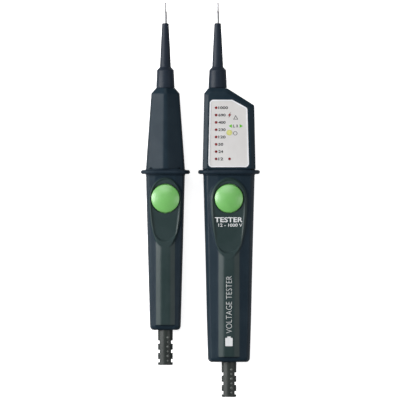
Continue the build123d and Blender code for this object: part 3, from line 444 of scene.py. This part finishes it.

# clear coloured pins that carry the light to the plate; their faint emission is a painted glow
lensFlat = {"Specular IOR Level": 0.5, "Coat Weight": 0.4, "Coat Roughness": 0.08, "IOR": 1.49}
lensHands = {"Rough": 0.22, "Change": 0.1}
lensSwirl = {"scale": 900.0, "detail": 2.0, "fade": (0.35, 0.65)}
lightLooks = {
    "redLens": {"colour": (0.30, 0.050, 0.052), "deep": (0.18, 0.024, 0.028), "glow": 0.05},
    "greenLens": {"colour": (0.18, 0.55, 0.06), "deep": (0.10, 0.40, 0.03), "glow": 0.15},
    "yellowLens": {"colour": (0.66, 0.66, 0.26), "deep": (0.58, 0.57, 0.18), "glow": 0.05},
}
for name, look in lightLooks.items():
    # the glow value is an emission strength: a painted glow, since no lamp in the scene lights these pins
    material, tree, shader, place = newFinish(name, {**lensFlat, "Emission Strength": look["glow"]})
    swirl = addNode(tree, "ShaderNodeTexNoise",
                    inputs={"Scale": lensSwirl["scale"], "Detail": lensSwirl["detail"]})
    join(tree, *place, swirl, "Vector")
    depth = rampNode(tree, swirl, "Fac", *lensSwirl["fade"], smooth=True)
    colour = mixNode(tree, (depth, "Result"), look["deep"], look["colour"])
    join(tree, colour, 2, shader, "Base Color")
    join(tree, colour, 2, shader, "Emission Color")
    hands = placeGroup(tree, handling, place, lensHands)
    join(tree, hands, "Roughness", shader, "Roughness")
    finishes[name] = material

# turned, drawn and stamped metal
metalSettings = {"flat": {"Metallic": 1.0, "Anisotropic": 0.3}, "tarnish": 160.0, "dull": (0.45, 0.70),
                 "handled": 0.06, "change": 0.12, "bump": 0.25, "depth": 0.03, "edge": 0.12}
metalLooks = {
    "tipSteel": {"colour": (0.40, 0.40, 0.41), "dark": (0.30, 0.30, 0.31), "rough": 0.34, "lines": 2600.0,
                 "along": (0.02, 1.0, 0.02)},
    "springSteel": {"colour": (0.60, 0.60, 0.62), "dark": (0.45, 0.45, 0.47), "rough": 0.28, "lines": 1800.0,
                    "along": (1.0, 1.0, 0.1)},
    "screwZinc": {"colour": (0.62, 0.62, 0.60), "dark": (0.42, 0.42, 0.41), "rough": 0.36, "lines": 1500.0,
                  "along": (1.0, 1.0, 0.3)},
    "weightBrass": {"colour": (0.62, 0.50, 0.30), "dark": (0.42, 0.32, 0.18), "rough": 0.40, "lines": 900.0,
                    "along": (0.1, 1.0, 0.1)},
    "motorCan": {"colour": (0.58, 0.58, 0.60), "dark": (0.44, 0.44, 0.46), "rough": 0.30, "lines": 1200.0,
                 "along": (1.0, 0.08, 1.0)},
}
for name, look in metalLooks.items():
    material, tree, shader, place = newFinish(name, metalSettings["flat"])
    stretch = addNode(tree, "ShaderNodeMapping", inputs={"Scale": look["along"]})
    join(tree, *place, stretch, "Vector")
    lines = addNode(tree, "ShaderNodeTexNoise", inputs={"Scale": look["lines"], "Detail": 3.0})
    join(tree, stretch, "Vector", lines, "Vector")
    tarnish = addNode(tree, "ShaderNodeTexNoise", inputs={"Scale": metalSettings["tarnish"], "Detail": 4.0})
    join(tree, *place, tarnish, "Vector")
    dull = rampNode(tree, tarnish, "Fac", *metalSettings["dull"], smooth=True)
    colour = mixNode(tree, (dull, "Result"), look["colour"], look["dark"])
    join(tree, colour, 2, shader, "Base Color")
    hands = placeGroup(tree, handling, place, {
        "Rough": look["rough"] + metalSettings["handled"], "Change": metalSettings["change"]})
    join(tree, hands, "Roughness", shader, "Roughness")
    bump = addNode(tree, "ShaderNodeBump",
                   inputs={"Strength": metalSettings["bump"], "Distance": metalSettings["depth"] * mm})
    edges = placeGroup(tree, softEdge, inputs={"Radius": metalSettings["edge"] * mm})
    join(tree, lines, "Fac", bump, "Height")
    join(tree, edges, "Normal", bump, "Normal")
    join(tree, bump, "Normal", shader, "Normal")
    finishes[name] = material

# green board with copper under the mask, and pads
boardLook = {"mask": (0.010, 0.085, 0.035), "track": (0.030, 0.160, 0.065), "pad": (0.62, 0.60, 0.52),
             "trackScale": 160.0, "trackWidth": 0.02, "padScale": 260.0, "padFade": (0.16, 0.13),
             "bump": 0.4, "depth": 0.04, "hands": {"Rough": 0.35, "Change": 0.1}}
material, tree, shader, place = newFinish("boardMask", {"Specular IOR Level": 0.5})
tracks = addNode(tree, "ShaderNodeTexBrick", {"offset": 0.5},
                 {"Scale": boardLook["trackScale"], "Mortar Size": boardLook["trackWidth"],
                  "Color1": (0, 0, 0, 1), "Color2": (0, 0, 0, 1), "Mortar": (1, 1, 1, 1)})
dots = addNode(tree, "ShaderNodeTexVoronoi", inputs={"Scale": boardLook["padScale"], "Randomness": 0.35})
for texture in (tracks, dots):
    join(tree, *place, texture, "Vector")
colour = mixNode(tree, (tracks, "Fac"), boardLook["mask"], boardLook["track"])
padMask = rampNode(tree, dots, "Distance", *boardLook["padFade"])
colour = mixNode(tree, (padMask, "Result"), (colour, 2), boardLook["pad"])
join(tree, colour, 2, shader, "Base Color")
hands = placeGroup(tree, handling, place, boardLook["hands"])
join(tree, hands, "Roughness", shader, "Roughness")
bump = addNode(tree, "ShaderNodeBump",
               inputs={"Strength": boardLook["bump"], "Distance": boardLook["depth"] * mm})
join(tree, tracks, "Fac", bump, "Height")
join(tree, bump, "Normal", shader, "Normal")
finishes["boardMask"] = material

# cell in a printed wrap, with bare steel at both ends
cellLook = {"low": -102.0, "high": -57.5, "bare": (1.2, 1.0), "band": (-68.1, -68.0), "foil": 0.6,
            "copper": (0.62, 0.36, 0.16), "body": (0.022, 0.024, 0.028), "steel": (0.64, 0.64, 0.65),
            "hands": {"Rough": 0.30, "Change": 0.12}}
material, tree, shader, place = newFinish("cellWrap", {"Specular IOR Level": 0.5})
axes = addNode(tree, "ShaderNodeSeparateXYZ")
join(tree, *place, axes, "Vector")
band = rampNode(tree, axes, "Y", *[y * mm for y in cellLook["band"]])
colour = mixNode(tree, (band, "Result"), cellLook["body"], cellLook["copper"])
lowEnd = rampNode(tree, axes, "Y", *[(cellLook["low"] + width) * mm for width in cellLook["bare"]])
highEnd = rampNode(tree, axes, "Y", *[(cellLook["high"] - width) * mm for width in cellLook["bare"]])
bare = mathNode(tree, "MAXIMUM", (lowEnd, "Result"), (highEnd, "Result"))
colour = mixNode(tree, (bare, "Value"), (colour, 2), cellLook["steel"])
join(tree, colour, 2, shader, "Base Color")
foil = mathNode(tree, "MULTIPLY", (band, "Result"), cellLook["foil"])
shiny = mathNode(tree, "MAXIMUM", (bare, "Value"), (foil, "Value"))
join(tree, shiny, "Value", shader, "Metallic")
hands = placeGroup(tree, handling, place, cellLook["hands"])
join(tree, hands, "Roughness", shader, "Roughness")
finishes["cellWrap"] = material
print("finishes made,", len(finishes))

# finishes onto the frame's nodes

nodeFinishes = {
    "front_shell": "Housing", "rear_shell": "Housing", "battery_door": "Housing", "finger_guard": "guardRubber",
    "shell_seal": "sealRubber", "tip_sleeve": "sleevePlastic", "tip_electrode": "tipSteel",
    "tip_lead": "leadJacket", "strain_relief": "bootRubber", "cable_clamp": "innerPlastic",
    "clamp_screws": "screwZinc", "shell_screws": "screwZinc", "board_screws": "screwZinc",
    "button": "buttonPlastic", "button_spring": "springSteel", "switch_body": "innerPlastic",
    "switch_plunger": "plungerPlastic", "circuit_board": "boardMask", "input_resistors": "ceramicBody",
    "scale_bezel": "windowFrame", "scale_plate": "scalePlate", "led_shroud": "innerPlastic",
    "indicator_leds": "ledResin", "microcontroller": "chipEpoxy", "buzzer": "chipEpoxy",
    "ptc_thermistors": "ceramicBody", "vibration_motor": "motorCan", "motor_rotor": "weightBrass",
    "battery_left": "cellWrap", "battery_right": "cellWrap", "battery_tray": "innerPlastic",
    "battery_contacts": "springSteel", "door_screw": "screwZinc", "red_light_pipes": "redLens",
    "flash_light_pipe": "redLens", "green_light_pipes": "greenLens", "yellow_light_pipe": "yellowLens",
}
for name, node in nodes.items():
    probe = "plain" if name.startswith("plain_") else "display"
    finish = nodeFinishes[name.removeprefix(probe + "_")]
    finish = finishes[probe + finish if finish == "Housing" else finish]
    if not node.material_slots:
        node.data.materials.append(finish)
    for slot in node.material_slots:
        slot.material = finish
print("frame nodes finished")

# pieces made here: a few helpers, then print, springs and pips


def addPiece(name, mesh, finish, body):
    mesh.materials.clear()
    mesh.materials.append(finishes[finish])
    piece = bpy.data.objects.new(name, mesh)
    bpy.context.collection.objects.link(piece)
    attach(piece, body)
    return piece


inkThick = 0.03                                  # mm, and how far print stands over what it is on


def textMesh(name, words, size, centre, top, bold, turned=0.0):
    # words as a thin mesh of the given (width, height), middle at centre, upper face at top, all in mm
    curve = bpy.data.curves.new(name, "FONT")
    curve.body = words
    curve.size = 1.0
    curve.resolution_u = 4
    curve.offset = bold
    curve.extrude = 0.5
    writer = bpy.data.objects.new(name, curve)
    bpy.context.collection.objects.link(writer)
    bpy.context.view_layer.update()
    mesh = bpy.data.meshes.new_from_object(writer.evaluated_get(bpy.context.evaluated_depsgraph_get()))
    bpy.data.objects.remove(writer)
    mesh.name = name
    xs = [v.co.x for v in mesh.vertices]
    ys = [v.co.y for v in mesh.vertices]
    middle = Vector(((min(xs) + max(xs)) / 2, (min(ys) + max(ys)) / 2, 0))
    width, height = max(xs) - min(xs), max(ys) - min(ys)
    place = (Matrix.Translation((centre[0] * mm, centre[1] * mm, (top - inkThick / 2) * mm))
             @ Matrix.Rotation(turned, 4, "Z")
             @ Matrix.Diagonal((size[0] / width * mm, size[1] / height * mm, inkThick * mm, 1))
             @ Matrix.Translation(-middle))
    mesh.transform(place)
    return mesh


def joined(name, meshes):
    bm = bmesh.new()
    for mesh in meshes:
        bm.from_mesh(mesh)
        bpy.data.meshes.remove(mesh)
    made = bpy.data.meshes.new(name)
    bm.to_mesh(made)
    bm.free()
    return made


def outlineMesh(name, sides, radius, line, centre, top):
    # a ring with the given number of sides
    bm = bmesh.new()
    bmesh.ops.create_circle(bm, cap_ends=True, radius=radius * mm, segments=sides)
    rim = bmesh.ops.inset_region(bm, faces=bm.faces, thickness=line * mm, use_boundary=True,
                                 use_even_offset=True)["faces"]
    bmesh.ops.delete(bm, geom=[f for f in bm.faces if f not in rim], context="FACES")
    raised = bmesh.ops.extrude_face_region(bm, geom=bm.faces[:])["geom"]
    raised = [v for v in raised if isinstance(v, bmesh.types.BMVert)]
    bmesh.ops.translate(bm, verts=raised, vec=(0, 0, inkThick * mm))
    bmesh.ops.recalc_face_normals(bm, faces=bm.faces)
    bmesh.ops.translate(bm, verts=bm.verts, vec=(centre[0] * mm, centre[1] * mm, (top - inkThick) * mm))
    made = bpy.data.meshes.new(name)
    bm.to_mesh(made)
    bm.free()
    return made


axisX = 20.0                                     # middle of the display probe
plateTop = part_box("scale_plate")[1][2] / mm
scalePrint = {
    "numbers": ("1000", "690", "400", "230", "120", "50", "24", "12"), "firstY": 64.4, "pitch": 5.12,
    "left": -7.4, "digitHigh": 2.0, "digitWide": 1.68, "bold": 0.03,
}
top = plateTop + inkThick
rows = []
for index, number in enumerate(scalePrint["numbers"]):
    width = scalePrint["digitWide"] * len(number)
    y = scalePrint["firstY"] - index * scalePrint["pitch"]
    rows.append(textMesh(number, number, (width, scalePrint["digitHigh"]),
                         (axisX + scalePrint["left"] + width / 2, y), top, scalePrint["bold"]))
addPiece("scaleNumbers", joined("scaleNumbers", rows), "greyInk", "display_probe")

letterPrint = {"size": (1.25, 2.0), "bold": 0.03, "L": (3.6, 51.6), "R": (5.9, 51.6)}
letters = [textMesh(word, word, letterPrint["size"], (axisX + letterPrint[word][0], letterPrint[word][1]), top,
                    letterPrint["bold"]) for word in ("L", "R")]
addPiece("phaseLetters", joined("phaseLetters", letters), "greyInk", "display_probe")
symbolPrint = {"triangle": {"sides": 3, "radius": 2.0, "line": 0.36, "centre": (4.7, 57.2)},
               "circle": {"sides": 40, "radius": 1.45, "line": 0.34, "centre": (4.4, 46.5)}}
symbols = [outlineMesh(name, part["sides"], part["radius"], part["line"],
                       (axisX + part["centre"][0], part["centre"][1]), top)
           for name, part in symbolPrint.items()]
addPiece("scaleSymbols", joined("scaleSymbols", symbols), "greyInk", "display_probe")
print("scale printed")

# white print on the handle: a generic name, its range, and words along the spine
titlePrint = {"words": "TESTER", "size": (19.6, 3.5), "centre": (-0.2, -14.0), "bold": 0.02}
rangePrint = {"words": "12 - 1000 V", "size": (16.8, 2.2), "centre": (1.0, -17.8), "bold": 0.012}
recessFloor = 28.5
for name, part in (("titlePrint", titlePrint), ("rangePrint", rangePrint)):
    mesh = textMesh(name, part["words"], part["size"], (axisX + part["centre"][0], part["centre"][1]),
                    recessFloor + inkThick, part["bold"])
    addPiece(name, mesh, "whiteInk", "display_probe")

spinePrint = {"words": "VOLTAGE TESTER", "size": (40.0, 4.0), "centre": (0.0, -73.4), "bold": -0.022,
              "top": 29.8, "start": -36.0, "end": -110.1, "fall": 1.624}
cellMark = {"size": (5.2, 5.8), "nub": (2.4, 1.0), "nubGap": 0.5, "corner": 0.35, "centre": (0.0, -99.6)}


def layOnSpine(mesh):
    # the spine's top runs down towards the cable, and its print lies on that slope
    for v in mesh.vertices:
        part = (spinePrint["start"] - v.co.y / mm) / (spinePrint["start"] - spinePrint["end"])
        v.co.z -= max(0.0, part) * spinePrint["fall"] * mm
    return mesh


mesh = textMesh("spinePrint", spinePrint["words"], spinePrint["size"],
                (axisX + spinePrint["centre"][0], spinePrint["centre"][1]), spinePrint["top"] + inkThick,
                spinePrint["bold"], turned=math.pi / 2)
addPiece("spinePrint", layOnSpine(mesh), "whiteInk", "display_probe")


def plateMesh(name, size, centre, top, corner):
    bm = bmesh.new()
    bmesh.ops.create_cube(bm, size=1.0)
    bmesh.ops.scale(bm, verts=bm.verts, vec=(size[0] * mm, size[1] * mm, inkThick * mm))
    corners = [e for e in bm.edges if abs(e.verts[0].co.z - e.verts[1].co.z) > inkThick * mm * 0.5]
    bmesh.ops.bevel(bm, geom=corners, offset=corner * mm, segments=3, profile=0.5, affect="EDGES", material=-1)
    bmesh.ops.translate(bm, verts=bm.verts, vec=(centre[0] * mm, centre[1] * mm, (top - inkThick / 2) * mm))
    made = bpy.data.meshes.new(name)
    bm.to_mesh(made)
    bm.free()
    return made


markX, markY = axisX + cellMark["centre"][0], cellMark["centre"][1]
nubY = markY + cellMark["size"][1] / 2 + cellMark["nubGap"]
top = spinePrint["top"] + inkThick
mark = joined("cellMark", [plateMesh("cellMarkBody", cellMark["size"], (markX, markY), top, cellMark["corner"]),
                           plateMesh("cellMarkNub", cellMark["nub"], (markX, nubY), top, cellMark["corner"])])
addPiece("cellMark", layOnSpine(mark), "whiteInk", "display_probe")
print("handle printed")

# each button's return spring as a piece of its own, with its seams merged; the real spring shortens as the
# button goes in
mergeGap = 0.001 * mm
for probe in ("display", "plain"):
    springNode = probe + "_button_spring"
    bm = bmesh.new()
    bm.from_mesh(nodes[springNode].data)
    bmesh.ops.remove_doubles(bm, verts=bm.verts, dist=mergeGap)
    mesh = bpy.data.meshes.new(probe + "ReturnSpring")
    bm.to_mesh(mesh)
    bm.free()
    spring = addPiece(probe + "ReturnSpring", mesh, "springSteel", probe + "_probe")
    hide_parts(springNode)
    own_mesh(spring)
print("return springs made")

# small moulded pips on the strain reliefs, on both faces, at the ribs and at the side slots; their rubber is
# painted lighter than the boot as a painted highlight
pips = {"offset": 1.7, "first": 5.2, "pitch": 3.25, "count": 6, "sizes": ((2.1, 1.9), (1.4, 1.5)),
        "radius": 5.2, "proud": 0.75, "sink": 0.35, "segments": (20, 12)}
strains = {"plain": {"x": -24.5, "z": 13.0, "tail": -91.2}, "display": {"x": 20.0, "z": 16.5, "tail": -113.6}}


def pipMesh(name, spot):
    bm = bmesh.new()
    rest = math.sqrt(pips["radius"] ** 2 - pips["offset"] ** 2) - pips["sink"]
    for face in (1, -1):
        for index in range(pips["count"]):
            wide, long = pips["sizes"][index % 2]
            dome = bmesh.ops.create_uvsphere(bm, u_segments=pips["segments"][0], v_segments=pips["segments"][1],
                                             radius=0.5)["verts"]
            bmesh.ops.scale(bm, verts=dome, vec=(wide * mm, long * mm, 2 * (pips["proud"] + pips["sink"]) * mm))
            y = spot["tail"] - pips["first"] - index * pips["pitch"]
            bmesh.ops.translate(bm, verts=dome, vec=((spot["x"] + pips["offset"]) * mm, y * mm,
                                                     (spot["z"] + face * rest) * mm))
    mesh = bpy.data.meshes.new(name)
    bm.to_mesh(mesh)
    bm.free()
    for polygon in mesh.polygons:
        polygon.use_smooth = True
    return mesh


for probe, spot in strains.items():
    name = probe + "StrainPips"
    addPiece(name, pipMesh(name, spot), "pipRubber", probe + "_probe")
print("strain relief pips made")

print("done")
